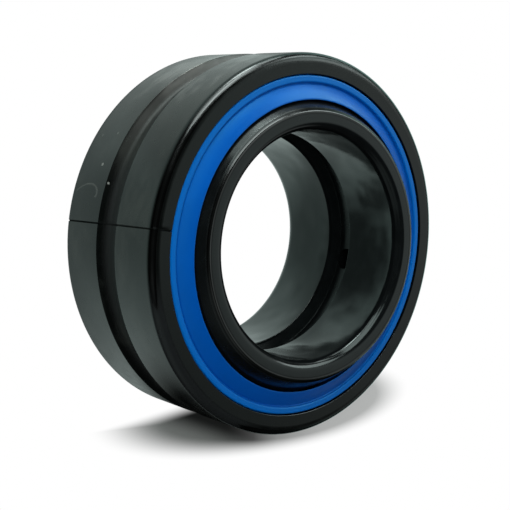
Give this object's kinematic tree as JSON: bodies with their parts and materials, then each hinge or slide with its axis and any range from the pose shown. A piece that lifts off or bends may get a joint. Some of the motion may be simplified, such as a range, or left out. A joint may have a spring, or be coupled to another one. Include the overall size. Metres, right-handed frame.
{
  "type": "spherical plain bearing",
  "caption": "Sealed spherical plain bearing: a ball-shaped inner ring swivels in a split, grooved outer ring, with a blue rubbing seal at each face.",
  "frame": {"origin": "centre of the ball's sphere, on the bore's axis, midway between the inner ring's faces", "axes": "+Z along the inner ring's bore, out of the front face; +X along the axis about which the rings lean on each other; the bearing lies on the inner ring's rear face"},
  "size_m": [0.042, 0.0426, 0.02],
  "materials": {
    "outer_ring_steel": "dark phosphated steel, satin, lightly rubbed",
    "inner_ring_steel": "dark phosphated steel, polished to a soft gloss",
    "seal_blue": "blue seal elastomer, smooth, half gloss"
  },
  "bodies": {
    "outer_ring": {"outer_ring": "outer_ring_steel"},
    "seals": {"front_seal": "seal_blue", "rear_seal": "seal_blue"},
    "inner_ring": {"inner_ring": "inner_ring_steel"}
  },
  "joints": [
    {"name": "ring_turn", "type": "hinge", "parent": "outer_ring", "child": "seals", "pos_m": [0, 0, 0], "axis": [0, 0.0523, 0.9986], "continuous": true},
    {"name": "ring_tilt", "type": "hinge", "parent": "seals", "child": "inner_ring", "pos_m": [0, 0, 0], "axis": [1, 0, 0], "range_deg": [-10, 4]}
  ]
}
